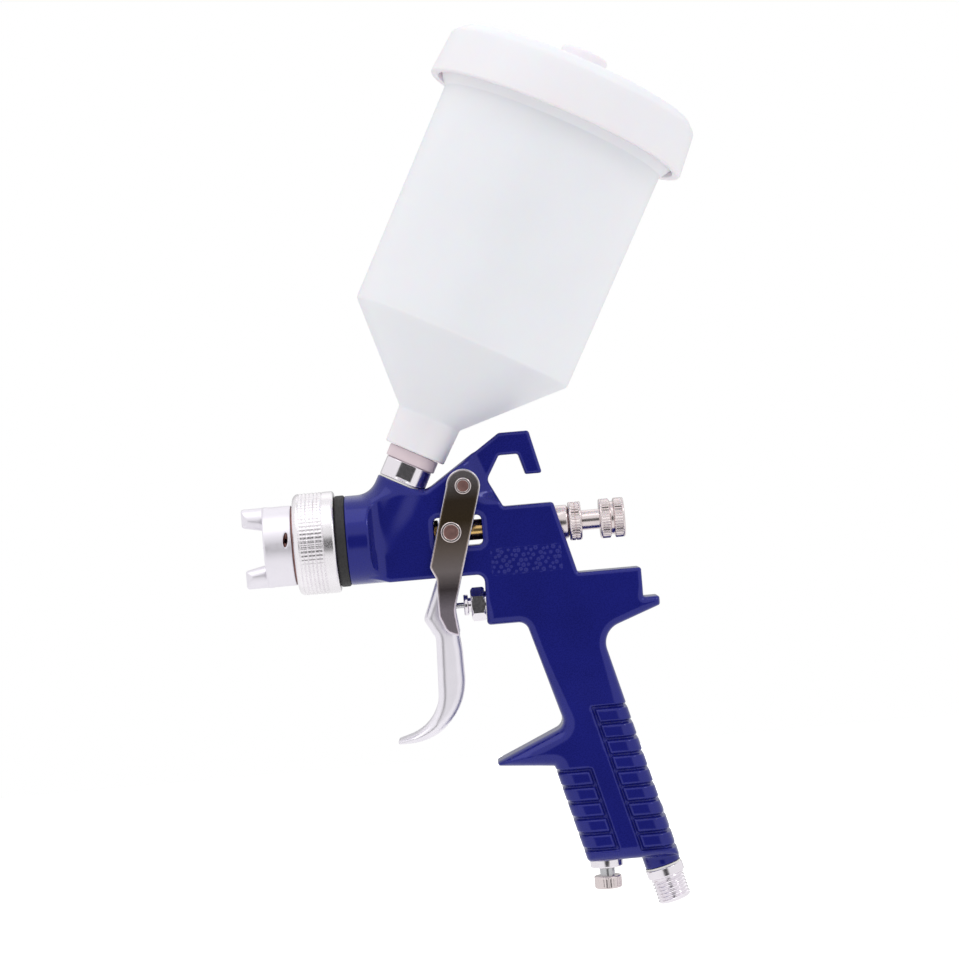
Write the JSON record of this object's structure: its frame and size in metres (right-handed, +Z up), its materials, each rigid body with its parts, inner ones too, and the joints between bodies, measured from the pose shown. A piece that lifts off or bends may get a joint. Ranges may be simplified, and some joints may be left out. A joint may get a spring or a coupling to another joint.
{
  "type": "gravity feed spray gun",
  "caption": "Hand-held gravity-feed spray gun with a leaning plastic paint cup, chrome air cap and trigger, hanging hook, raked grip and threaded air inlet.",
  "frame": {"origin": "middle of the bearing face under the hanging hook, on the gun's plane of symmetry", "axes": "+Z up with the needle axis level, +X towards the rear of the gun, so the nozzle points to -X; the plane Y = 0 is the plane of symmetry"},
  "size_m": [0.1888, 0.1056, 0.3472],
  "materials": {
    "blue_paint": "glossy metallic ultramarine lacquer on an aluminium casting",
    "chrome": "mirror chrome plate",
    "nickel": "bright nickel plate, fine turning marks",
    "brass": "bare turned brass",
    "steel": "ground stainless steel",
    "rubber": "black rubber",
    "nylon": "white nylon and PTFE",
    "milky_plastic": "milky translucent polypropylene"
  },
  "bodies": {
    "gun": {"gun_body": "blue_paint", "head_gasket": "rubber", "fluid_nozzle": "brass", "air_baffle": "steel", "needle_packing": "nylon", "packing_nut": "brass", "rear_guide": "nickel", "needle_spring": "steel", "air_valve_nut": "chrome", "air_valve_gland": "chrome", "air_valve_packing": "nylon", "air_valve_seat": "brass", "air_valve_spring": "steel", "regulator_collar": "chrome", "air_inlet": "chrome", "inlet_washer": "nylon", "cup_adapter": "chrome", "adapter_seal": "nylon", "neck_nut": "milky_plastic"},
    "trigger": {"trigger": "chrome", "pivot_pin": "nickel", "drive_pin": "nickel", "pin_clips": "steel"},
    "needle": {"needle": "steel", "needle_collar": "brass"},
    "valve_stem": {"air_valve_stem": "steel", "air_valve_washer": "rubber"},
    "head_slide": {"cap_washer": "nylon"},
    "air_cap": {"air_cap": "chrome"},
    "retaining_ring": {"retaining_ring": "chrome"},
    "knob_slide": {"spring_seat": "steel"},
    "fluid_knob": {"fluid_knob": "nickel"},
    "lock_ring": {"lock_ring": "nickel"},
    "regulator_slide": {"regulator_oring": "rubber"},
    "regulator": {"regulator_stem": "steel", "regulator_knob": "chrome"},
    "cup": {"cup": "milky_plastic", "cup_filter": "nylon"},
    "cup_lid": {"cup_lid": "milky_plastic"},
    "vent_cap": {"vent_cap": "milky_plastic"}
  },
  "joints": [
    {"name": "trigger_pull", "type": "hinge", "parent": "gun", "child": "trigger", "pos_m": [-0.0185, 0, -0.0106], "axis": [0, -1, 0], "range_deg": [0, 10], "stiffness_Nm_per_rad": 2, "springref_deg": -6.88},
    {"name": "needle_slide", "type": "slide", "parent": "gun", "child": "needle", "axis": [1, 0, 0], "range_m": [0, 0.0032], "deforming": ["needle_spring"]},
    {"name": "air_valve_slide", "type": "slide", "parent": "gun", "child": "valve_stem", "axis": [1, 0, 0], "range_m": [0, 0.0088], "deforming": ["air_valve_spring"]},
    {"name": "ring_travel", "type": "slide", "parent": "gun", "child": "head_slide", "axis": [-1, 0, 0], "range_m": [0, 0.003]},
    {"name": "ring_turn", "type": "hinge", "parent": "head_slide", "child": "retaining_ring", "pos_m": [-0.077, 0, -0.028], "axis": [-1, 0, 0], "range_deg": [0, 720]},
    {"name": "cap_turn", "type": "hinge", "parent": "head_slide", "child": "air_cap", "pos_m": [-0.09, 0, -0.028], "axis": [-1, 0, 0], "range_deg": [-90, 90]},
    {"name": "knob_travel", "type": "slide", "parent": "gun", "child": "knob_slide", "axis": [1, 0, 0], "range_m": [0, 0.002], "deforming": ["needle_spring"]},
    {"name": "knob_turn", "type": "hinge", "parent": "knob_slide", "child": "fluid_knob", "pos_m": [0.038, 0, -0.028], "axis": [1, 0, 0], "range_deg": [0, 720]},
    {"name": "lock_ring_turn", "type": "hinge", "parent": "gun", "child": "lock_ring", "pos_m": [0.0237, 0, -0.028], "axis": [1, 0, 0], "range_deg": [0, 180]},
    {"name": "regulator_travel", "type": "slide", "parent": "gun", "child": "regulator_slide", "axis": [0, 0, -1], "range_m": [0, 0.0016]},
    {"name": "regulator_turn", "type": "hinge", "parent": "regulator_slide", "child": "regulator", "pos_m": [0.0245, 0, -0.168], "axis": [0, 0, -1], "range_deg": [0, 720]},
    {"name": "cup_lift", "type": "slide", "parent": "gun", "child": "cup", "axis": [0.4726, 0, 0.8813], "range_m": [0, 0.03]},
    {"name": "lid_lift", "type": "slide", "parent": "cup", "child": "cup_lid", "axis": [0.4726, 0, 0.8813], "range_m": [0, 0.05]},
    {"name": "vent_cap_lift", "type": "slide", "parent": "cup_lid", "child": "vent_cap", "axis": [0.4726, 0, 0.8813], "range_m": [0, 0.008]}
  ],
  "couplings": [
    {"joint": "needle_slide", "follows": "trigger_pull", "m_per_rad": 0.01784},
    {"joint": "air_valve_slide", "follows": "trigger_pull", "m_per_rad": 0.05},
    {"joint": "ring_turn", "follows": "ring_travel", "rad_per_m": 4188.8},
    {"joint": "knob_turn", "follows": "knob_travel", "rad_per_m": 6283.2},
    {"joint": "regulator_turn", "follows": "regulator_travel", "rad_per_m": 7854}
  ]
}
